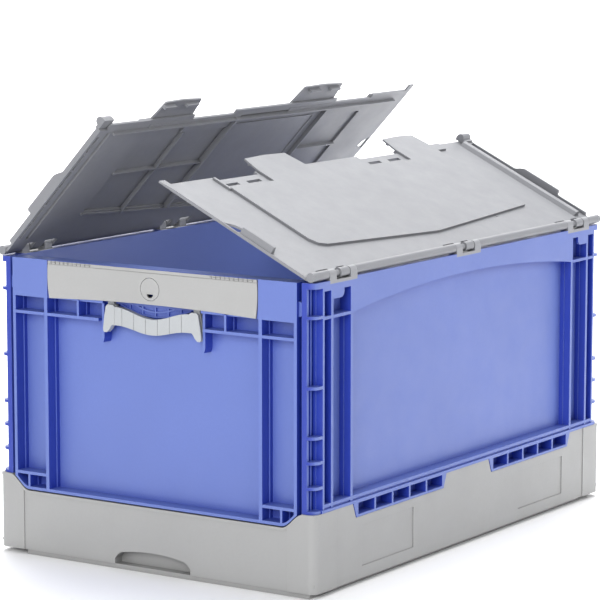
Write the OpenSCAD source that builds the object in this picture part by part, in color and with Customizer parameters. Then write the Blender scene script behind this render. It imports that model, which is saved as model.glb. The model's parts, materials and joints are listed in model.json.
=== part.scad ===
// Collapsible storage crate with a two-part hinged lid.
// The origin is the middle of the footprint on the ground. X runs along the crate and +Z is up.
// The crate is the same after half a turn about Z, so the right and back parts are the
// left and front modules turned by 180 degrees.

/* [Footprint] */
// Length of the crate over the corner blocks
box_l = 600; // [560:1:640]
// Width of the crate over the corner blocks
box_w = 400; // [380:1:420]
// Radius of the upright corners
corner_r = 9; // [6:1:12]

/* [Base tray] */
// Height of the tray along the long sides
base_h = 85; // [82:0.5:88]
// Height of the lowered rim at the ends
rim_low = 69; // [60:1:72]
// Height of the foot ring below the skirt
foot_h = 5; // [4:0.5:7]
// Wall thickness of the skirt
skirt_t = 3; // [2.5:0.1:3.5]
// Top of the floor
floor_top = 14; // [12:0.5:14]
// Thickness of the floor
floor_t = 3; // [2:0.5:4]

/* [Walls] */
// Height of the walls' top edge
wall_top = 316; // [300:1:316]
// Thickness of the wall skins
skin_t = 2.5; // [2:0.1:3]
// Outer face of the end walls, from the middle of the crate
end_face = 299.5; // [299:0.1:299.5]
// Outer face of the long walls, from the middle of the crate
long_face = 198.4; // [198:0.1:198.6]
// Half the width of the end walls
end_half = 178.5; // [176:0.5:178.5]
// Thickness of the upright ribs
rib_t = 3; // [2.5:0.1:4]

/* [Latch] */
// Upward travel of the release grip
grip_travel = 7; // [6:0.5:7]
// Bolt travel for each millimetre of grip travel
bolt_ratio = 0.8; // [0.6:0.05:0.8]

/* [Lid] */
// Angle of the front lid half above its closed position
front_open = 25.8; // [0:0.1:180]
// Angle of the back lid half above its closed position
back_open = 46.8; // [0:0.1:180]
// Radius of the hinge barrels
barrel_r = 4.8; // [4.5:0.1:4.8]
// Thickness of the lid plate
lid_t = 2.4; // [2:0.1:2.4]

/* [Hidden] */
$fn = 48;

wall_blue = "#5d70c6";
base_grey = "#b4b5b6";
lid_grey = "#b9bbbf";
cover_grey = "#c6c6c5";
grip_white = "#d9dfdd";
clip_grey = "#cfd0d0";
spring_steel = "#9a9da0";

// footprint and tray
half_l = box_l / 2;
half_w = box_w / 2;
face_step = 1;                 // the faces lie this far inside the corner blocks
corner_x = 260;                // where the corner blocks begin
corner_y = 167;
skirt_x = half_l - face_step;
skirt_y = half_w - face_step;
shoulder_in = 160;             // the end rim rises between these
shoulder_out = 186;
boss_in = 179.1;               // inner face of the hinge sockets
long_in = 183;                 // inner face of the long walls
rib_bottom = 2;                // lower edge of the ribs below the floor

// hinge of the end walls
end_axis_x = 290.5;
end_axis_z = 27;
end_pin_r = 4;
end_barrel_r = 5;
end_skin_in = end_face - 20;   // inner face of the end wall's skin
end_low_face = 295.5;          // outer face of the end wall behind the tray's rim

// hinge sections of the long walls
hinge_in = 51;                 // lower corners of a hinge section
hinge_out = 222;
hinge_slant = 6;               // the section's ends lean outwards by this
hinge_bottom = 70;
long_axis_y = 191.5;
long_axis_z = 77.5;

// latch chamber in the end wall
chamber_z0 = 279;
chamber_z1 = 313;
chamber_half = 127;
chamber_back = 284.5;
cover_z0 = 276.5;
cover_z1 = 315.3;
cover_back = 297.8;
cover_half = 131;
bolt_z0 = 282;
bolt_z1 = 297;
bolt_x0 = 288.2;
bolt_x1 = 295.8;
bolt_tip = 182.6;
peg_y = 72;
peg_z = 291;
peg_r = 3;
cam_x0 = 285;
cam_x1 = 287.8;
spring_y = 25;
spring_z0 = 286;

// lid hinge
lid_axis_y = 193.5;
lid_axis_z = wall_top + 5.8;
lid_pin_r = 3;
lid_top = -3;                  // top of the plate, from the hinge axis
lid_edge = 192.7;              // free edge of the plate, from the hinge axis
lid_half = 297;
field_rise = 2.5;              // the middle field stands this far above the border
clip_xs = [-245, 0, 245];
clip_half = 25;
clip_play = 0.4;
clip_seat = 3.2;               // the clip's foot lies this deep in the wall
fit = 0.06;                    // running clearance of the pins, on the radius

/* ---- helpers ---- */

// a block between two corners
module span(x, y, z) {
  translate([x[0], y[0], z[0]]) cube([x[1] - x[0], y[1] - y[0], z[1] - z[0]]);
}

// both sides of the plane y = 0
module both_y() {
  children();
  mirror([0, 1, 0]) children();
}

// both sides of the plane x = 0
module both_x() {
  children();
  mirror([1, 0, 0]) children();
}

// half a turn about the crate's upright axis
module turned() {
  rotate([0, 0, 180]) children();
}

module rounded_plan(l, w, r) {
  square([l - 2 * r, w], center = true);
  square([l, w - 2 * r], center = true);
  for (x = [-1, 1], y = [-1, 1])
    translate([x * (l / 2 - r), y * (w / 2 - r)]) circle(r);
}

// a flat shape drawn in y and z, standing between two x positions
module upright_plate(x) {
  translate([x[0], 0, 0]) rotate([90, 0, 90]) linear_extrude(x[1] - x[0]) children();
}

// a flat shape drawn in x and z, standing between two y positions
module long_plate(y) {
  translate([0, y[1], 0]) rotate([90, 0, 0]) linear_extrude(y[1] - y[0]) children();
}

// a cylinder along x between two positions
module along_x(x, r) {
  translate([x[0], 0, 0]) rotate([0, 90, 0]) cylinder(h = x[1] - x[0], r = r);
}

// a cylinder along y between two positions
module along_y(y, r) {
  translate([0, y[1], 0]) rotate([90, 0, 0]) cylinder(h = y[1] - y[0], r = r);
}

// height of the tray's end rim at a distance from the middle
function rim(y) =
  abs(y) <= shoulder_in ? rim_low
  : abs(y) >= shoulder_out ? base_h
  : rim_low + (base_h - rim_low)
    * (1 - cos(180 * (abs(y) - shoulder_in) / (shoulder_out - shoulder_in))) / 2;

// everything above the end rim, in y and z
module above_rim(gap = 0) {
  rise = [for (i = [0:12]) shoulder_in + (shoulder_out - shoulder_in) * i / 12];
  polygon(concat(
    [for (y = rise) [y, rim(y) + gap]],
    [[half_w + 5, base_h + gap], [half_w + 5, wall_top], [-half_w - 5, wall_top],
     [-half_w - 5, base_h + gap]],
    [for (i = [12:-1:0]) [-rise[i], rim(rise[i]) + gap]]
  ));
}

/* ---- base tray ---- */

module tray_plan() {
  rounded_plan(2 * skirt_x, 2 * skirt_y, corner_r - face_step);
  intersection() {
    rounded_plan(box_l, box_w, corner_r);
    for (x = [-1, 1], y = [-1, 1])
      translate([x * (corner_x + half_l) / 2, y * (corner_y + half_w) / 2])
        square([half_l - corner_x, half_w - corner_y], center = true);
  }
}

// the space of one hinge section, in x and z
module hinge_section(grow = 0) {
  polygon([
    [hinge_in - grow, hinge_bottom - grow], [hinge_out + grow, hinge_bottom - grow],
    [hinge_out + hinge_slant + grow, base_h + 0.01], [hinge_in - hinge_slant - grow, base_h + 0.01]
  ]);
}

module tray_feet() {
  foot_x = 298;
  foot_y = 192.5;
  wall = 4;
  corner_cut = [36, 28];
  difference() {
    linear_extrude(floor_top - floor_t) difference() {
      square([2 * foot_x, 2 * foot_y], center = true);
      square([2 * (foot_x - wall), 2 * (foot_y - wall)], center = true);
    }
    for (s = [-1, 1])
      translate([s * (foot_x - corner_cut[0] / 2), -s * (foot_y - corner_cut[1] / 2), foot_h / 2 - 1])
        cube([corner_cut[0] + 1, corner_cut[1] + 1, foot_h + 2], center = true);
  }
}

module tray_floor() {
  rib = 2;
  span([-skirt_x + 1, skirt_x - 1], [-skirt_y + 1, skirt_y - 1], [floor_top - floor_t, floor_top]);
  for (x = [-250:50:250])
    span([x - rib / 2, x + rib / 2], [-190, 190], [rib_bottom, floor_top - floor_t]);
  for (y = [-150:50:150])
    span([-294, 294], [y - rib / 2, y + rib / 2], [rib_bottom, floor_top - floor_t]);
}

// box section along a long side, with the seats of the hinge sections
module tray_side() {
  top_t = 3;
  cheek = 3.5;
  depth = [-skirt_y + 1, -long_in];
  difference() {
    union() {
      span([-skirt_x + 1, skirt_x - 1], [-long_in - skin_t, -long_in], [floor_top - 1, base_h]);
      span([-skirt_x + 1, skirt_x - 1], depth, [base_h - top_t, base_h]);
      both_x() {
        span([hinge_in - 12, hinge_out + 12], depth, [hinge_bottom - 3.5, hinge_bottom - 0.5]);
        for (x = [hinge_in - 12, hinge_out + 12 - cheek])
          span([x, x + cheek], depth, [hinge_bottom - 3.5, base_h]);
        for (x = [20, 150, 280])
          span([x, x + 2], depth, [floor_top - 1, hinge_bottom - 3]);
      }
    }
    both_x() long_plate([-half_w - 1, -long_in + 1]) hinge_section(0.5);
    translate([0, -long_axis_y, long_axis_z]) both_x() along_x([hinge_in - 13, hinge_out + 13], 4 + fit);
  }
}

module end_sockets() {
  both_y() translate([-end_axis_x, 0, end_axis_z]) difference() {
    union() {
      along_y([boss_in, long_in], 8);
      span([-8, 8], [boss_in, long_in], [floor_top - end_axis_z - 1, 0]);
    }
    along_y([boss_in - 1, long_in + 1], end_pin_r + fit);
  }
}

module finger_notch(grow = 0) {
  half = 40 + grow;
  low = foot_h - grow;
  upright_plate([-half_l - 1, -half_l + 13 + grow]) polygon(concat(
    [[-half - 8, low], [-half - 8, foot_h + 6], [-half - 4, foot_h + 10.5 + grow]],
    [for (i = [0:10]) let (y = half * (i / 5 - 1)) [y, 18 + grow + 3.7 * (1 - pow(y / half, 2))]],
    [[half + 4, foot_h + 10.5 + grow], [half + 8, foot_h + 6], [half + 8, low]]
  ));
}

// raised edge along the top of an end rim
module rim_lip() {
  lip = 3;
  intersection() {
    upright_plate([-half_l, -skirt_x + 1]) difference() {
      above_rim(-lip);
      above_rim();
    }
    span([-half_l - 1, 0], [-corner_y - 1, corner_y + 1], [0, base_h]);
  }
}

module base_tray() {
  label_x = [111, 211];
  label_z = [17.5, 60.5];
  color(base_grey) difference() {
    union() {
      difference() {
        translate([0, 0, foot_h]) linear_extrude(base_h - foot_h) difference() {
          tray_plan();
          rounded_plan(2 * (skirt_x - skirt_t), 2 * (skirt_y - skirt_t), corner_r - skirt_t);
        }
        both_x() upright_plate([-half_l - 1, -skirt_x + skirt_t + 1]) above_rim();
      }
      both_x() rim_lip();
      tray_floor();
      tray_feet();
      for (a = [0, 180]) rotate([0, 0, a]) {
        tray_side();
        end_sockets();
        intersection() {
          finger_notch(2.5);
          span([-skirt_x + 1, -half_l + 17], [-60, 60], [rib_bottom, floor_top + 12]);
        }
      }
    }
    for (a = [0, 180]) rotate([0, 0, a]) {
      finger_notch();
      both_x() long_plate([-half_w - 1, -long_in + 1]) hinge_section(0.5);
      both_x() span(label_x, [-half_w - 1, -skirt_y + 1], label_z);
      translate([0, 0, end_axis_z]) both_y() translate([-end_axis_x, 0, 0])
        along_y([boss_in - 1, long_in + 1], end_pin_r + fit);
    }
  }
}

/* ---- long walls ---- */

post_x = 297.5;
post_edge = 283;               // end of the long face, where the ladder corner begins
strip_y = 189;                 // outer edge of the strip beside the end wall
rib_base = 1.2;                // the ribs are this much thicker on each side near the skin
rib_base_depth = 5;

// lower edge of the long wall's top band
function arch(x) = 295.3 - 15.3 * pow(abs(x) / 229, 2);

// an upright or level rib on the long wall, given by its x and z extents
module long_rib(x, z) {
  span(x, [-long_face, -long_in - 1], z);
  span([x[0] - rib_base, x[1] + rib_base],
       [-long_in - skin_t - rib_base_depth, -long_in - 1], z);
}

module long_hinge_section() {
  cell_t = 3;
  cells = 5;
  pitch = (hinge_out - hinge_in - cell_t) / cells;
  difference() {
    long_plate([-long_face - 1.2, -long_in - 0.8]) hinge_section();
    for (i = [0:cells - 1])
      span([hinge_in + cell_t + i * pitch, hinge_in + (i + 1) * pitch],
           [-half_w - 1, -long_in - 3], [hinge_bottom + 2.5, base_h - 0.5]);
  }
  translate([0, -long_axis_y, long_axis_z]) {
    along_x([hinge_in - 11, hinge_in + 2], 4);
    along_x([hinge_out - 2, hinge_out + 11], 4);
  }
}

// open corner with the strip towards the end wall and the ladder of rungs
module corner_post() {
  rung_t = 3;
  rungs = [109.5, 135, 160, 210, 280, 310];
  span([-post_x, -post_edge + 3], [-long_in - skin_t, -long_in], [base_h, wall_top]);
  span([-post_x, -post_x + 3.5], [-strip_y, -long_in], [base_h, wall_top]);
  span([-291, -289], [-strip_y, -long_in], [base_h, wall_top]);
  for (z = concat([base_h], rungs, [wall_top - rung_t - 0.01]))
    translate([0, 0, z]) linear_extrude(rung_t) intersection() {
      rounded_plan(2 * post_x, 2 * long_face, corner_r);
      translate([-half_l, -half_w]) square([half_l - post_edge + 2, half_w - long_in]);
    }
}

module long_wall() {
  z_foot = 93;
  color(wall_blue) difference() {
    union() {
      span([-post_x, post_x], [-long_in - skin_t, -long_in], [base_h, wall_top]);
      // bottom flange and ledge
      span([-post_edge - 3, post_edge + 3], [-long_face - 1.2, -long_in], [base_h, base_h + 3]);
      span([-post_edge, post_edge], [-long_face, -long_in - 1], [z_foot - 3, z_foot]);
      span([-post_edge, post_edge], [-long_face + 1.2, -long_in - 1], [base_h, z_foot - 1]);
      // top band with an arched lower edge
      long_plate([-long_face, -long_in]) polygon(concat(
        [for (x = [-232:29:232]) [x, arch(x)]], [[232, wall_top], [-232, wall_top]]
      ));
      both_x() {
        long_rib([-post_edge, -post_edge + rib_t], [base_h, wall_top]);
        long_rib([-268, -264], [base_h, wall_top]);
        long_rib([-232, -228], [base_h, arch(229) + 2]);
        long_rib([-post_edge, -232], [278.5, 281.5]);
        span([-post_edge, -230], [-long_face, -long_in], [wall_top - 9.5, wall_top]);
        // rounded thumb tab in the pocket
        long_plate([-long_face, -long_face + 2.5]) {
          for (x = [-261.5, -250]) translate([x, 303.5]) circle(6);
          translate([-261.5, 297.5]) square([11.5, 12]);
          translate([-267.5, 303.5]) square([23.5, 5]);
        }
        corner_post();
        long_hinge_section();
      }
    }
    // seats of the lid clips
    for (x = clip_xs) {
      span([x - clip_half, x + clip_half], [-long_face - 1, -lid_axis_y + 9],
           [wall_top - clip_seat, wall_top + 1]);
      span([x - 20.2, x + 20.2], [-lid_axis_y - 1.2, -lid_axis_y + 6.2], [wall_top - 7.6, wall_top]);
    }
  }
}

module front_long_wall() long_wall();
module back_long_wall() turned() long_wall();

/* ---- end walls ---- */

// an upright or level rib on the end wall, given by its y and z extents
module end_rib(y, z) {
  span([-end_face, -end_skin_in - 1], y, z);
  span([-end_skin_in - skin_t - rib_base_depth, -end_skin_in - 1],
       [y[0] - (y[1] - y[0] < 8 ? rib_base : 0), y[1] + (y[1] - y[0] < 8 ? rib_base : 0)], z);
}

// arc-shaped pad above the grip, in y and z
module grip_pad() {
  polygon(concat(
    [[-46, chamber_z0], [46, chamber_z0]],
    [for (y = [44:-8:-44]) [y, 265.2 + 10.5 * pow(y / 46, 2)]]
  ));
}

module end_wall_ribs() {
  inner = 133;
  second = 137;
  level = [257.5, 260.5];
  both_y() {
    end_rib([end_half - 3.5, end_half], [75, 277]);
    end_rib([inner, second], [72, 277]);
    end_rib([66, end_half - 1], level);
    end_rib([91.5, 94], [258, 277]);
    end_rib([second - 1, end_half - 1], [86.5, 89.5]);
    end_rib([158.5, 161], [70, 88]);
    // guide fin for the grip, cut to a point below
    upright_plate([-end_face + 4.5, -end_skin_in - 1])
      polygon([[62, 277], [65, 277], [65, 240], [63.5, 235], [62, 240]]);
  }
  // bottom flange, parallel to the tray's rim
  intersection() {
    upright_plate([-end_face, -end_skin_in - 1]) difference() {
      above_rim(1.5);
      above_rim(4.5);
    }
    span([-half_l, 0], [-end_half, end_half], [0, wall_top]);
  }
}

// the wall's part behind the tray's rim, with the hinge barrel
module end_wall_root() {
  for (y = [-171, -135, -90, -45, 0, 45, 90, 135, 171]) {
    span([-end_low_face, -end_skin_in - 1], [y - 1.5, y + 1.5], [end_axis_z, 73]);
    translate([-end_axis_x, 0, end_axis_z]) along_y([y - 7.5, y + 7.5], end_barrel_r);
  }
  span([-end_axis_x, -end_skin_in - 1], [-end_half, end_half], [end_axis_z + 1, end_axis_z + 4]);
  translate([-end_axis_x, 0, end_axis_z]) {
    along_y([-end_half - 4.3, -170], end_pin_r);
    along_y([170, end_half + 4.3], end_pin_r);
  }
}

module end_wall() {
  color(wall_blue) difference() {
    union() {
      span([-end_skin_in - skin_t, -end_skin_in], [-end_half, end_half], [24, wall_top]);
      difference() {
        end_wall_ribs();
        // room for the tray's rim, which the ribs stand above
        difference() {
          span([-half_l - 1, -end_low_face], [-half_w, half_w], [0, base_h + 4]);
          upright_plate([-half_l - 2, -end_low_face + 1]) above_rim(1.5);
        }
      }
      end_wall_root();
      // latch chamber
      span([-cover_back + 0.1, -end_skin_in], [-cover_half - 4, cover_half + 4], [276, wall_top]);
      both_y() span([-end_face, -end_skin_in], [cover_half + 1.5, end_half], [276, wall_top]);
      upright_plate([-288.8, -end_skin_in - 1]) grip_pad();
      // ribs of the pad above the grip
      intersection() {
        upright_plate([-290.4, -end_skin_in - 1]) grip_pad();
        union() {
          for (y = [-32, -16, 0, 16, 32])
            span([-half_l, -end_skin_in], [y - 0.8, y + 0.8], [260, 280]);
          upright_plate([-half_l, -end_skin_in]) difference() {
            offset(delta = 1) grip_pad();
            offset(delta = -1.4) grip_pad();
          }
          translate([0, 0, 330]) rotate([0, -90, 0]) difference() {
            cylinder(h = 299, r = 60);
            translate([0, 0, -1]) cylinder(h = 301, r = 58.4);
          }
        }
      }
    }
    // room for the tray's finger notch, also when the wall is folded
    span([-half_l, -end_skin_in + 1], [-53, 53], [20, 37]);
    // chamber, open towards the cover
    span([-half_l, -chamber_back], [-chamber_half, chamber_half], [chamber_z0, chamber_z1]);
    both_y() {
      span([-bolt_x1 - 0.4, -bolt_x0 + 0.4], [chamber_half - 1, end_half + 1],
           [bolt_z0 - 0.4, bolt_z1 + 0.4]);
      // way for the grip's lug
      span([-half_l, -chamber_back], [49.5, 58.5], [275, chamber_z0 + 1]);
    }
    // way for the bow
    span([-half_l, -290.7], [-61.8, 61.8], [275, chamber_z0 + 1]);
  }
}

module left_end_wall() end_wall();
module right_end_wall() turned() end_wall();

/* ---- release cover, plug, grip, bolts and springs ---- */

// outline of the cover in y and z, with bowed sides and a bowed lower edge
module cover_outline(inset = 0) {
  bow = 3.5;
  z0 = cover_z0 + inset;
  z1 = cover_z1 - inset;
  side = [for (i = [0:8]) z0 + (z1 - z0) * i / 8];
  function half_at(z) =
    cover_half - inset + 0.8 - 2.4 * pow((z - z0) / (z1 - z0) - 0.62, 2) * 2.2;
  polygon(concat(
    [for (y = [-120:20:120]) [y, z0 + bow * (1 - pow(y / 128, 2))]],
    [for (z = side) [half_at(z), z]],
    [for (i = [8:-1:0]) [-half_at(side[i]), side[i]]]
  ));
}

module release_cover() {
  plug_z = 295.5;
  color(cover_grey) difference() {
    union() {
      upright_plate([-half_l, -cover_back]) cover_outline();
      // spigot that locates the cover in the chamber
      difference() {
        span([-cover_back - 0.1, -cover_back + 2.6], [-chamber_half + 0.4, chamber_half - 0.4],
             [298.2, chamber_z1 - 0.4]);
        span([-half_l, -cover_back + 4], [-chamber_half + 2.4, chamber_half - 2.4],
             [298, chamber_z1 - 2.4]);
      }
    }
    // line below the top edge, and grip strips at its ends
    span([-half_l - 1, -half_l + 0.7], [-cover_half - 2, cover_half + 2], [311.8, 312.5]);
    both_y() {
      for (y = [76:5.5:126])
        span([-half_l - 1, -half_l + 1], [y, y + 1.5], [312.4, wall_top]);
      span([-half_l - 1, -half_l + 1], [74, 128], [313.8, 314.4]);
    }
    translate([-half_l - 1, 0, plug_z]) along_x([0, 6], 11.9);
  }
}

module left_release_cover() release_cover();
module right_release_cover() turned() release_cover();

module cover_plug() {
  plug_z = 295.5;
  color(cover_grey) translate([0, 0, plug_z]) difference() {
    union() {
      along_x([-half_l, -cover_back - 0.6], 11.4);
      along_x([-cover_back - 0.7, -cover_back], 11.4);
      difference() {
        along_x([-cover_back - 0.1, -cover_back + 1.4], 11.4);
        along_x([-cover_back - 1, -cover_back + 2], 9.6);
      }
    }
    // half-moon finger hole
    intersection() {
      translate([0, 0, -5]) along_x([-half_l - 1, -cover_back + 2], 4);
      span([-half_l - 1, -cover_back + 2], [-5, 5], [-10, -5]);
    }
  }
}

module left_cover_plug() cover_plug();
module right_cover_plug() turned() cover_plug();

// the bow's outline in y and z: two smiling curves that turn up into the lugs
module grip_bow() {
  reach = 52;
  top = [for (i = [-10:10]) let (y = reach * i / 10)
         [y, 264.2 + 9.3 * (1 - cos(180 * min(1, abs(y) / 47))) / 2]];
  low = [for (i = [10:-1:-10]) let (y = reach * i / 10)
         [y, 248 + 6.6 * (1 - cos(180 * min(1, abs(y) / 44))) / 2]];
  polygon(concat(top, low));
}

// lug of the grip, flared outwards at its foot
module grip_lug() {
  polygon([[47, 256], [47, 273.6], [49, 275.4], [56, 275.4], [58, 273.5], [60.2, 262], [61.6, 250.5],
           [61.3, 247.6], [59.8, 246.4], [57, 246.6], [54, 249.4], [51, 254]]);
}

module grip() {
  front = 297.6;                 // passes behind the cover
  back = 291;
  slot = [-grip_travel * bolt_ratio, -grip_travel];
  angle = atan2(slot[1], slot[0]);
  reach = norm(slot);
  color(grip_white) {
    difference() {
      upright_plate([-front + 0.3, -back - 0.2]) grip_bow();
      // joints between the segments of the bow
      for (y = [-37.5:15:37.5]) span([-front - 1, -front + 0.8], [y - 0.5, y + 0.5], [240, 280]);
    }
    difference() {
      union() {
        // a bar joins the lugs inside the chamber, with a post for each spring
        span([-293, -cam_x0], [-56.5, 56.5], [281, spring_z0]);
        both_y() {
          upright_plate([-front, -front + 2]) grip_lug();
          upright_plate([-back - 2, -back]) grip_lug();
          upright_plate([-front + 0.6, -back - 0.4]) intersection() {
            grip_lug();
            translate([49.6, 240]) square([5.4, 40]);
          }
          span([-294, -cam_x0 - 0.2], [50.4, 57.6], [262, spring_z0 - 0.6]);
          span([-cam_x1, -cam_x0], [52, peg_y + 12], [279.8, 302.4]);
          translate([-289.5, spring_y, spring_z0 - 1]) cylinder(h = 13, r = 2.4);
        }
      }
      // slanted slots that draw the bolts in
      both_y() translate([-cam_x1 - 1, peg_y, peg_z]) {
        along_x([0, 5], peg_r + 0.25);
        translate([0, slot[0], slot[1]]) along_x([0, 5], peg_r + 0.25);
        rotate([angle, 0, 0]) span([0, 5], [0, reach], [-peg_r - 0.22, peg_r + 0.22]);
      }
    }
  }
}

module left_grip() grip();
module right_grip() turned() grip();

// the bolt on the +Y side of the left end wall
module bolt() {
  color(wall_blue) difference() {
    union() {
      span([-bolt_x1, -bolt_x0], [66.5, bolt_tip - 2], [bolt_z0, bolt_z1]);
      upright_plate([-bolt_x1, -bolt_x0])
        polygon([[bolt_tip - 2.01, bolt_z0], [bolt_tip, bolt_z0 + 2], [bolt_tip, bolt_z1 - 2],
                 [bolt_tip - 2.01, bolt_z1]]);
      translate([0, peg_y, peg_z]) along_x([-bolt_x0 - 0.5, -cam_x0 + 0.2], peg_r);
    }
    // lightening pocket, open towards the cover
    span([-bolt_x1 - 1, -bolt_x1 + 4.5], [88, 168], [bolt_z0 + 2.5, bolt_z1 - 2.5]);
  }
}

module left_back_bolt() bolt();
module left_front_bolt() mirror([0, 1, 0]) bolt();
module right_front_bolt() turned() bolt();
module right_back_bolt() turned() mirror([0, 1, 0]) bolt();

// a closed-end coil spring as one swept tube
module coil(h, r, wire, turns) {
  steps = 14;
  sides = 6;
  rings = turns * steps;
  function centre(i) = [r * cos(360 * i / steps), r * sin(360 * i / steps),
                        wire + (h - 2 * wire) * i / rings];
  function corner(i, j) = let (a = 360 * i / steps, b = 360 * j / sides)
    centre(i) + wire * [cos(b) * cos(a), cos(b) * sin(a), sin(b)];
  polyhedron(
    points = [for (i = [0:rings], j = [0:sides - 1]) corner(i, j)],
    faces = concat(
      [for (i = [0:rings - 1], j = [0:sides - 1]) let (k = (j + 1) % sides)
        [i * sides + j, (i + 1) * sides + j, (i + 1) * sides + k, i * sides + k]],
      [[for (j = [0:sides - 1]) j]],
      [[for (j = [sides - 1:-1:0]) rings * sides + j]]
    )
  );
}

module grip_springs() {
  color(spring_steel) both_y() translate([-289.5, spring_y, spring_z0 + 0.1])
    coil(chamber_z1 - spring_z0 - 0.2, 3.6, 0.6, 7);
}

module left_grip_springs() grip_springs();
module right_grip_springs() turned() grip_springs();

/* ---- lid halves ---- */

// The lid half lies along +Y from its hinge axis, which is the X axis. Its closed position is level.

tongues = [[-136, -49], [139, 213]];
slots = [[-213, -189], [-173.5, -149], [63, 87], [103, 127]];
tongue_low = -2.6;
tongue_top = -0.6;
tongue_root = 179;
tongue_tip = 217;

field_left = -216;
field_right = 213;
landing_r = 168.5;             // the other half's tongues land beyond this

// the raised field, with its outline grown by g
module field_plan(g = 0) {
  polygon([
    [field_left - g, landing_r + g], [field_left - g, 62], [-211 - g, 53 - g], [-200, 48 - g],
    [0, 35 - g], [field_right + g, 51 - g], [field_right + g, landing_r + g]
  ]);
  // parts beside the tongues reach nearly to the free edge
  for (x = [[tongues[0][0], 46], [tongues[1][0], field_right]])
    translate([x[0] - g, 150]) square([x[1] - x[0] + 2 * g, 36 + g]);
}

module lid_plan() {
  difference() {
    translate([-lid_half, 3]) square([2 * lid_half, lid_edge - 3]);
    for (x = clip_xs)
      translate([x - clip_half - 0.6, 0]) square([2 * clip_half + 1.2, 12.6]);
    // relief for the other half's corner and for its tongues
    translate([285, 182]) square([20, 20]);
    translate([60, 187]) square([78, 10]);
    translate([-216, 187]) square([76, 10]);
    // finger notch at the flat end
    translate([-lid_half + 1.5, 0])
      polygon([[0, 114], [5.5, 111.5], [10, 107.5], [13, 101.5], [13.5, 95], [0, 95]]);
    // narrow slots beside the outer wall of the raised end
    for (y = [22:26:152]) translate([290.5, y]) square([3.4, 23.5]);
  }
}

module tongue(x) {
  outline = [
    [x[0], tongue_root], [x[0], 191], [x[0] + 6, tongue_tip - 2], [(x[0] + x[1]) / 2, tongue_tip],
    [x[1] - 5, tongue_tip - 1.5], [x[1], 191], [x[1], tongue_root]
  ];
  translate([0, 0, tongue_low]) linear_extrude(tongue_top - tongue_low) polygon(outline);
  span(x, [tongue_root, 186.5], [lid_top - lid_t - 0.5, tongue_low + 0.1]);
}

module lid_hinge() {
  edges = concat([-lid_half - 1], [for (x = clip_xs) each [x - clip_half - clip_play,
                 x + clip_half + clip_play]], [lid_half + 1]);
  for (i = [0:2:len(edges) - 1]) along_x([edges[i], edges[i + 1]], barrel_r);
  along_x([-lid_half, lid_half], lid_pin_r);
  for (x = clip_xs) {
    along_x([x - 4, x + 11.6], barrel_r);
    span([x - 4, x + 11.6], [3, 13.5], [lid_top - lid_t, lid_top]);
  }
}

// stiffening ribs and the label frame below the plate
module lid_ribs() {
  under = lid_top - lid_t;
  roof = under + field_rise + 0.4;
  // grid inside the raised field
  span([136, 138], [42, landing_r - 1], [under - 2, roof]);
  span([51, 54], [39, landing_r - 1], [under - 4, roof]);
  span([51, 54], [landing_r - 2, 182], [under - 4, under + 1]);
  span([-134, -132], [45, 182], [under - 2, roof]);
  for (x = [[53, field_right - 1], [field_left + 1, -133]])
    span(x, [111, 113], [under - 2, roof]);
  // along the curved edge of the field
  translate([0, 0, under - 1.8]) linear_extrude(2.2) intersection() {
    difference() {
      field_plan(2.2);
      field_plan();
    }
    translate([field_left, 25]) square([field_right - field_left, 31]);
  }
  // along the free edge
  span([-273, 273], [179.2, 181.2], [under - 4, under + 1]);
  for (x = [[tongues[0][0], 46], [tongues[1][0], field_right]])
    span(x, [179.2, 181.2], [under, roof]);
  // label frame
  difference() {
    span([-118.5, 41], [44, 168], [roof - 1.4, roof]);
    span([-117, 39.5], [45.5, 166.5], [roof - 2, roof + 1]);
  }
}

// bead, outer wall, stacking tab and corner knob of the raised end
module lid_raised_end() {
  wall = [294.2, lid_half + 0.5];
  low = lid_top - lid_t;
  long_plate([17, 184])
    polygon([[272.5, lid_top - 0.3], [276, 1.2], [278, 2], [282, 2], [283.5, 0.8], [283.5, lid_top - 0.3]]);
  span(wall, [14, 185], [low, 0.4]);
  upright_plate(wall)
    polygon([[56, 0], [56, 4.6], [58, 6.2], [107, 6.2], [112, 4.4], [119, 0.3], [119, 0]]);
  span([281, wall[1]], [183.5, 197], [tongue_low, 2]);
  span([281, wall[1]], [180, 185], [low, 0]);
  translate([0, 192, 2]) along_x([281, wall[1]], 4.6);
}

// edge, stacking block and thin corner of the flat end
module lid_flat_end() {
  outer = -lid_half - 0.5;
  low = lid_top - lid_t;
  span([outer, -lid_half + 1.6], [5, 95], [low, lid_top + 0.8]);
  span([outer, -lid_half + 1.6], [95, 114], [low, low + 1.2]);
  span([outer, -lid_half + 1.6], [114, 186], [low, lid_top + 0.8]);
  long_plate([52, 93])
    polygon([[outer, low], [-294.5, 3.6], [-294, 4], [-291.5, 4], [-291, 3.5], [-290, lid_top - 0.2]]);
  span([-lid_half, -287.5], [186, 201.5], [low, lid_top - 0.4]);
  // end of the field's side wall, up to the free edge
  span([field_left - 3, field_left + 0.4], [landing_r - 2, 190], [lid_top - 0.4, lid_top + field_rise - 0.3]);
}

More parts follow.
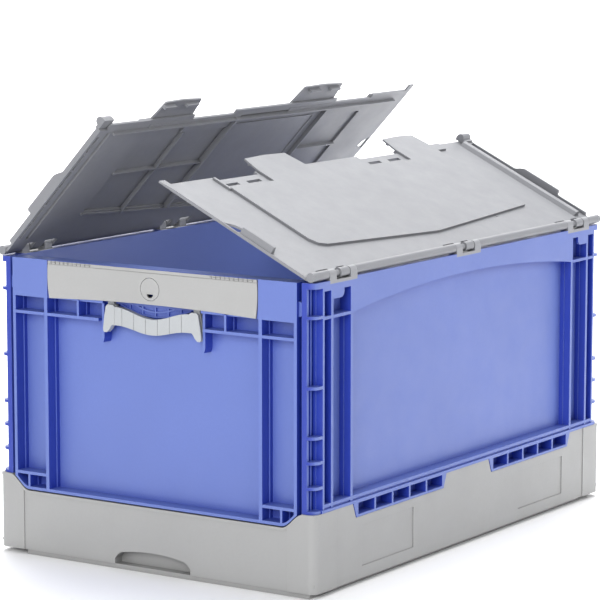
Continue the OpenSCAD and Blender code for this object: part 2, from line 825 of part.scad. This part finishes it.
module lid() {
  low = lid_top - lid_t;
  color(lid_grey) difference() {
    union() {
      translate([0, 0, low]) linear_extrude(lid_t) difference() {
        lid_plan();
        field_plan(-lid_t + 0.2);
      }
      translate([0, 0, low + field_rise]) linear_extrude(lid_t) field_plan();
      translate([0, 0, low]) linear_extrude(lid_t + field_rise) difference() {
        field_plan();
        field_plan(-lid_t);
      }
      for (x = tongues) tongue(x);
      span([tongues[1][1] - 1, 232], [tongue_root, 191.5], [lid_top - 0.4, tongue_top]);
      // catches that drop into the other half's slots
      for (x = slots) span([-x[1] + 2, -x[0] - 2], [209.3, 212.2], [low - 1.6, tongue_low + 0.1]);
      lid_hinge();
      lid_ribs();
      lid_raised_end();
      lid_flat_end();
    }
    for (x = slots) span(x, [174, 178.6], [low - 4, lid_top + 1]);
    // hollow below the bead
    long_plate([20, 181])
      polygon([[275, low - 1], [277.8, 0.2], [281, 0.2], [281.6, low - 1]]);
  }
}

module placed_lid(open) {
  translate([0, -lid_axis_y, lid_axis_z]) rotate([open, 0, 0]) lid();
}

module front_lid() placed_lid(front_open);
module back_lid() turned() placed_lid(back_open);

// clip that carries the lid's pin, seated in the top of the long wall
module lid_clip() {
  ear = 12;
  color(clip_grey) difference() {
    union() {
      span([-clip_half, clip_half], [lid_axis_y - long_face, 8.8], [-5.8 - clip_seat, -5.8]);
      span([-20, 20], [-1, 6], [-13.2, -5.9]);
      for (x = [-clip_half, clip_half - ear]) {
        along_x([x, x + ear], barrel_r);
        span([x, x + ear], [lid_axis_y - long_face, barrel_r], [-6, 0]);
      }
    }
    along_x([-clip_half - 1, clip_half + 1], lid_pin_r + fit);
    span([-17, 17], [1, 4], [-14, -9.5]);
  }
}

module front_clip(i) translate([clip_xs[i], -lid_axis_y, lid_axis_z]) lid_clip();

module front_left_lid_clip() front_clip(0);
module front_middle_lid_clip() front_clip(1);
module front_right_lid_clip() front_clip(2);
module back_left_lid_clip() turned() front_clip(2);
module back_middle_lid_clip() turned() front_clip(1);
module back_right_lid_clip() turned() front_clip(0);

base_tray();
front_long_wall();
back_long_wall();
left_end_wall();
right_end_wall();
left_release_cover();
right_release_cover();
left_cover_plug();
right_cover_plug();
left_grip();
right_grip();
left_grip_springs();
right_grip_springs();
left_front_bolt();
left_back_bolt();
right_front_bolt();
right_back_bolt();
front_lid();
back_lid();
front_left_lid_clip();
front_middle_lid_clip();
front_right_lid_clip();
back_left_lid_clip();
back_middle_lid_clip();
back_right_lid_clip();
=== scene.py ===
"""Looks of the collapsible storage crate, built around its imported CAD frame."""

import json
import math

import bmesh
import bpy
from mathutils import Matrix, Vector


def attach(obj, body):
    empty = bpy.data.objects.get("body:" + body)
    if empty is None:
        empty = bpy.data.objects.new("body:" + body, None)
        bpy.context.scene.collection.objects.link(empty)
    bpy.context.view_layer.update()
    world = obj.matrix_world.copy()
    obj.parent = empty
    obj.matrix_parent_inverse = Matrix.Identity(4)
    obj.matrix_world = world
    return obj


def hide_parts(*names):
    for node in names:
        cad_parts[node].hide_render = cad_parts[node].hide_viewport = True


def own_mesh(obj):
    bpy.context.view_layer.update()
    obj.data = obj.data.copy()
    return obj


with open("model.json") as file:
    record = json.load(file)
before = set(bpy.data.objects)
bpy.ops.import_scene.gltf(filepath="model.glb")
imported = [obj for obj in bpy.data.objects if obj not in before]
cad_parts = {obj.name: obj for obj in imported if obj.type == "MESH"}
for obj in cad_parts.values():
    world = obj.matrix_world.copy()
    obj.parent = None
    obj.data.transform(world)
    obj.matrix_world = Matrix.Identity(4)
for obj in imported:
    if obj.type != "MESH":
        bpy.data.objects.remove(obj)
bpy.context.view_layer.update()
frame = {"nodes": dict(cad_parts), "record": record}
nodes = frame["nodes"]

MM = 0.001

# ---- shader helpers ----


class Shader:
    """A node tree in which each call adds one node and returns its output."""

    def __init__(self, name):
        self.material = bpy.data.materials.new(name)
        self.material.use_nodes = True
        self.tree = self.material.node_tree
        self.tree.nodes.clear()
        self.coords = self.node("ShaderNodeTexCoord").outputs["Object"]

    def node(self, kind, **values):
        made = self.tree.nodes.new(kind)
        for key, value in values.items():
            setattr(made, key, value)
        return made

    def feed(self, socket, value):
        if isinstance(value, bpy.types.NodeSocket):
            self.tree.links.new(value, socket)
        else:
            socket.default_value = value

    def math(self, operation, a, b=0.0, clamp=False):
        made = self.node("ShaderNodeMath", operation=operation, use_clamp=clamp)
        self.feed(made.inputs[0], a)
        self.feed(made.inputs[1], b)
        return made.outputs[0]

    def noise(self, scale, detail=2.0, rough=0.5, stretch=None):
        made = self.node("ShaderNodeTexNoise")
        vector = self.coords
        if stretch:
            mapping = self.node("ShaderNodeMapping")
            self.feed(mapping.inputs["Vector"], self.coords)
            mapping.inputs["Scale"].default_value = stretch
            vector = mapping.outputs[0]
        self.feed(made.inputs["Vector"], vector)
        made.inputs["Scale"].default_value = scale
        made.inputs["Detail"].default_value = detail
        made.inputs["Roughness"].default_value = rough
        return made.outputs["Fac"]

    def cells(self, scale):
        made = self.node("ShaderNodeTexVoronoi")
        self.feed(made.inputs["Vector"], self.coords)
        made.inputs["Scale"].default_value = scale
        return made.outputs["Distance"]

    def spread(self, value, low, high, to_low=0.0, to_high=1.0):
        made = self.node("ShaderNodeMapRange", clamp=True)
        self.feed(made.inputs["Value"], value)
        made.inputs["From Min"].default_value = low
        made.inputs["From Max"].default_value = high
        made.inputs["To Min"].default_value = to_low
        made.inputs["To Max"].default_value = to_high
        return made.outputs[0]

    def mix(self, factor, a, b):
        made = self.node("ShaderNodeMix", data_type="RGBA")
        self.feed(made.inputs["Factor"], factor)
        self.feed(made.inputs["A"], a)
        self.feed(made.inputs["B"], b)
        return made.outputs["Result"]

    def edge(self, radius):
        """1 along sharp edges of the mesh, and 0 on its flat faces."""
        bevel = self.node("ShaderNodeBevel", samples=4)
        bevel.inputs["Radius"].default_value = radius
        true = self.node("ShaderNodeNewGeometry").outputs["Normal"]
        dot = self.node("ShaderNodeVectorMath", operation="DOT_PRODUCT")
        self.feed(dot.inputs[0], bevel.outputs[0])
        self.feed(dot.inputs[1], true)
        return self.spread(dot.outputs["Value"], 0.985, 0.8)

    def facing(self, axis):
        """1 on faces that look along the given axis of the piece, either way."""
        normal = self.node("ShaderNodeNewGeometry").outputs["Normal"]
        turned = self.node("ShaderNodeVectorTransform", vector_type="NORMAL")
        turned.convert_from = "WORLD"
        turned.convert_to = "OBJECT"
        self.feed(turned.inputs[0], normal)
        dot = self.node("ShaderNodeVectorMath", operation="DOT_PRODUCT")
        self.feed(dot.inputs[0], turned.outputs[0])
        self.feed(dot.inputs[1], axis)
        return self.spread(self.math("ABSOLUTE", dot.outputs["Value"]), 0.55, 0.95)

    def crevice(self, distance):
        """1 in open places, falling towards 0 in narrow corners."""
        made = self.node("ShaderNodeAmbientOcclusion", samples=4)
        made.inputs["Distance"].default_value = distance
        return made.outputs["AO"]

    def bumps(self, heights):
        """Bump nodes in a row; heights lists (height, strength, depth)."""
        normal = None
        for height, strength, depth in heights:
            made = self.node("ShaderNodeBump")
            self.feed(made.inputs["Height"], height)
            made.inputs["Strength"].default_value = strength
            made.inputs["Distance"].default_value = depth
            if normal:
                self.feed(made.inputs["Normal"], normal)
            normal = made.outputs[0]
        return normal

    def surface(self, colour, roughness, normal, **constants):
        shader = self.node("ShaderNodeBsdfPrincipled")
        self.feed(shader.inputs["Base Color"], colour)
        self.feed(shader.inputs["Roughness"], roughness)
        if normal:
            self.feed(shader.inputs["Normal"], normal)
        for key, value in constants.items():
            shader.inputs[key.replace("_", " ")].default_value = value
        out = self.node("ShaderNodeOutputMaterial")
        self.feed(out.inputs["Surface"], shader.outputs[0])
        return self.material


def linear(red, green, blue):
    """A screen colour, 0 to 255, as a linear colour."""
    def one(c):
        c /= 255
        return c / 12.92 if c <= 0.04045 else ((c + 0.055) / 1.055) ** 2.4
    return (one(red), one(green), one(blue), 1.0)


def scaled(colour, factor):
    """A colour made brighter or darker by a factor."""
    return tuple(min(1.0, c * factor) for c in colour[:3]) + (1.0,)


GRAIN_DEPTH = 0.06 * MM
CORNER_SHADE_REACH = 16 * MM    # how far the painted shade spreads from a corner
EDGE_REACH = 0.7 * MM     # how far the paler wear spreads from an edge
WORN = 1.2                # brightness of a worn edge, as a share of the plain colour


def moulded_plastic(name, colour, rough=(0.36, 0.5), deep=None, shaded_flanks=None):
    """Injection-moulded polypropylene: fine grain, flow tones, scuffs and paler edges.

    Painted shade: narrow corners, and the smooth sides of the ribs that look along the given
    axis, are painted in the darker shade colour.
    """
    s = Shader(name)
    # the painted shade colour: half as bright as the plain colour unless one is given
    deep = deep or scaled(colour, 0.5)
    # broad flow tones, fine specks, and scuffs drawn out sideways
    tone = s.spread(s.noise(7.0, 3.0), 0.3, 0.7)
    base = s.mix(tone, scaled(colour, 0.96), scaled(colour, 1.03))
    speck = s.spread(s.noise(420.0, 2.0), 0.35, 0.65, 0.0, 0.3)
    base = s.mix(speck, base, scaled(colour, 0.94))
    scuff = s.spread(s.noise(26.0, 6.0, 0.7, (1.0, 1.0, 7.0)), 0.62, 0.82, 0.0, 0.25)
    base = s.mix(scuff, base, scaled(colour, 1.12))
    # painted shade in narrow corners and on the rib sides, then worn edges in patches
    corner_shade = s.spread(s.crevice(CORNER_SHADE_REACH), 0.2, 0.8, 0.85, 0.0)
    base = s.mix(corner_shade, base, deep)
    if shaded_flanks:
        # painted shade on the rib sides that look along the given axis
        base = s.mix(s.math("MULTIPLY", s.facing(shaded_flanks), 0.9), base, deep)
    patches = s.spread(s.noise(90.0, 4.0), 0.35, 0.7, 0.25, 0.75)
    edge = s.math("MULTIPLY", s.edge(EDGE_REACH), patches)
    base = s.mix(edge, base, scaled(colour, WORN))
    # scuffs are duller than the rest
    gloss = s.spread(s.noise(38.0, 4.0, 0.6), 0.3, 0.7, *rough)
    gloss = s.math("ADD", gloss, s.math("MULTIPLY", scuff, 0.3))
    normal = s.bumps([
        (s.noise(9.0, 2.0), 0.06, 1.0 * MM),
        (s.noise(1500.0, 3.0, 0.6), 0.35, GRAIN_DEPTH),
        (s.cells(900.0), 0.2, GRAIN_DEPTH),
    ])
    return s.surface(base, gloss, normal, IOR=1.49)


def coiled_steel(name):
    """Bright drawn wire with fine marks along it."""
    s = Shader(name)
    tone = s.spread(s.noise(300.0, 3.0), 0.3, 0.7)
    base = s.mix(tone, linear(168, 170, 173), linear(196, 198, 200))
    gloss = s.spread(s.noise(900.0, 2.0), 0.3, 0.7, 0.22, 0.38)
    normal = s.bumps([(s.noise(1400.0, 2.0, 0.5, (1.0, 1.0, 6.0)), 0.3, 0.03 * MM)])
    return s.surface(base, gloss, normal, Metallic=1.0)


BLUE = linear(98, 116, 182)
# painted shade colour for the blue's narrow corners and rib sides
SHADE_BLUE = linear(28, 51, 156)
ALONG_X = (1.0, 0.0, 0.0)
ALONG_Y = (0.0, 1.0, 0.0)

# The blue comes in three versions, which differ only in which rib sides take painted shade:
# those looking along Y on the end walls, along X on the long walls, and no ribs on the
# bolts.
PLASTICS = {
    "end_blue": {"colour": BLUE, "deep": SHADE_BLUE, "shaded_flanks": ALONG_Y},
    "long_blue": {"colour": BLUE, "deep": SHADE_BLUE, "shaded_flanks": ALONG_X},
    "wall_blue": {"colour": BLUE, "deep": SHADE_BLUE},
    "tray_grey": {"colour": linear(158, 158, 157), "rough": (0.42, 0.56)},
    "lid_grey": {"colour": linear(130, 131, 135), "rough": (0.4, 0.54)},
    "cover_grey": {"colour": linear(163, 163, 162), "rough": (0.38, 0.5)},
    "grip_white": {"colour": linear(171, 174, 176), "rough": (0.3, 0.42)},
    "clip_grey": {"colour": linear(142, 143, 147), "rough": (0.36, 0.46)},
}
MATERIALS = {name: moulded_plastic(name, **look) for name, look in PLASTICS.items()}
MATERIALS["spring_steel"] = coiled_steel("spring_steel")

# ---- finishes and softened edges of the CAD nodes ----

SLOT_OF = {part["node"]: part["material_slot"] for part in frame["record"]["subparts"]}

# These walls take a blue of their own, and all other nodes their slot's material.
BLUE_OF = {
    "left_end_wall": "end_blue",
    "right_end_wall": "end_blue",
    "front_long_wall": "long_blue",
    "back_long_wall": "long_blue",
}
ROUNDING = {"base_tray": 0.8 * MM, "front_lid": 0.5 * MM, "back_lid": 0.5 * MM}
PLAIN_ROUNDING = 0.4 * MM
FLAT_ANGLE = math.radians(0.5)
SHARP_ANGLE = math.radians(32)


def soften(obj, width):
    """Round the sharp edges a little, after merging the facets of each flat face."""
    flat = obj.modifiers.new("merge_flats", "DECIMATE")
    flat.decimate_type = "DISSOLVE"
    flat.angle_limit = FLAT_ANGLE
    round_off = obj.modifiers.new("round_edges", "BEVEL")
    round_off.width = width
    round_off.segments = 2
    round_off.limit_method = "ANGLE"
    round_off.angle_limit = SHARP_ANGLE


for name, obj in nodes.items():
    obj.data.materials.clear()
    obj.data.materials.append(MATERIALS[BLUE_OF.get(name, SLOT_OF[name])])
    if SLOT_OF[name] != "spring_steel":
        soften(obj, ROUNDING.get(name, PLAIN_ROUNDING))

# ---- grip springs, carried by the end walls ----


def sprung(side):
    """Coils copied into the CAD springs' place and carried by the end wall; the CAD springs
    are hidden.
    """
    node = side + "_grip_springs"
    coils = bpy.data.objects.new(side + "_coils", nodes[node].data.copy())
    bpy.context.scene.collection.objects.link(coils)
    coils.matrix_world = nodes[node].matrix_world.copy()
    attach(coils, side + "_end_wall")
    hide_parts(node)
    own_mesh(coils)


for side in ("left", "right"):
    sprung(side)

# ---- stage, light and camera ----

PALE = linear(252, 252, 252)


def studio_floor():
    """A floor that bends up into a backdrop behind the crate, square to the camera."""
    turn = math.radians(-56.44)
    drop = 0.2 * MM
    near, far, half, radius, height = -4.0, 3.2, 6.0, 2.0, 5.0
    steps = 16
    outline = [(near, 0.0), (far, 0.0)]
    for i in range(1, steps + 1):
        a = math.radians(90 * i / steps)
        outline.append((far + radius * math.sin(a), radius * (1 - math.cos(a))))
    outline.append((far + radius, height))
    mesh = bmesh.new()
    rows = [[mesh.verts.new((x, y, z)) for y, z in outline] for x in (-half, half)]
    for i in range(len(outline) - 1):
        face = mesh.faces.new((rows[0][i], rows[1][i], rows[1][i + 1], rows[0][i + 1]))
        face.smooth = True
    mesh.transform(Matrix.Translation((0.0, 0.0, -drop)) @ Matrix.Rotation(turn, 4, "Z"))
    data = bpy.data.meshes.new("studio_floor")
    mesh.to_mesh(data)
    mesh.free()
    obj = bpy.data.objects.new("studio_floor", data)
    bpy.context.scene.collection.objects.link(obj)
    s = Shader("studio_paper")
    tone = s.spread(s.noise(2.0, 3.0), 0.3, 0.7)
    base = s.mix(tone, scaled(PALE, 0.985), PALE)
    normal = s.bumps([(s.noise(260.0, 3.0), 0.1, 0.2 * MM)])
    obj.data.materials.append(s.surface(base, 0.9, normal))
    return obj


def area_light(name, place, target, size, power):
    """A white rectangular lamp that looks at its target and isn't seen by the camera."""
    data = bpy.data.lights.new(name, "AREA")
    data.shape = "RECTANGLE"
    data.size, data.size_y = size
    data.energy = power
    obj = bpy.data.objects.new(name, data)
    obj.location = place
    aim = Vector(target) - Vector(place)
    obj.rotation_euler = aim.to_track_quat("-Z", "Y").to_euler()
    obj.visible_camera = False
    bpy.context.scene.collection.objects.link(obj)


studio_floor()

CENTRE = (0.0, 0.0, 0.2)
# name: place, target, width and height, power in watts
LIGHTS = {
    "key": ((-2.9, -0.9, 1.25), CENTRE, (1.4, 1.4), 60),
    # inside the crate, near the front long wall: it brightens the far wall's inner face
    "inside": ((0.12, -0.16, 0.26), (0.1, 0.19, 0.24), (0.3, 0.05), 0.33),
    "side": ((1.3, -3.1, 1.5), CENTRE, (1.8, 1.8), 13),
    "top": ((0.2, 0.0, 3.2), CENTRE, (1.6, 1.6), 33),
    "backdrop": ((1.9, 1.2, 3.4), (3.4, 2.3, 0.0), (3.0, 3.0), 300),
    "under_lid": ((1.5, -1.7, 1.05), (0.1, 0.12, 0.42), (0.8, 0.8), 11),
}
for name, (place, target, size, power) in LIGHTS.items():
    area_light(name, place, target, size, power)

AIR_COLOUR = (0.95, 0.96, 1.0, 1.0)
AIR_STRENGTH = 0.45

world = bpy.data.worlds.new("studio_air")
world.use_nodes = True
background = world.node_tree.nodes["Background"]
background.inputs["Color"].default_value = AIR_COLOUR
background.inputs["Strength"].default_value = AIR_STRENGTH
bpy.context.scene.world = world

# The camera was fitted to the photo, with the crate's 600 x 400 mm footprint as its scale.
CAMERA_PLACE = Vector((-2.65335, -1.74383, 0.71078))
CAMERA_RIGHT = Vector((0.55281, -0.83331, 0.0))
CAMERA_UP = Vector((0.12009, 0.07967, 0.98956))
SENSOR = 36.0
LENS = 175.07


def place_camera():
    """Put the camera where the photo was taken from."""
    data = bpy.data.cameras.new("camera")
    data.sensor_width = SENSOR
    data.lens = LENS
    data.clip_end = 50.0
    obj = bpy.data.objects.new("camera", data)
    right, up = CAMERA_RIGHT.normalized(), CAMERA_UP.normalized()
    back = right.cross(up)
    turn = Matrix((right, up, back)).transposed()
    obj.matrix_world = Matrix.Translation(CAMERA_PLACE) @ turn.to_4x4()
    bpy.context.scene.collection.objects.link(obj)
    bpy.context.scene.camera = obj


place_camera()
bpy.context.scene.view_settings.view_transform = "Standard"
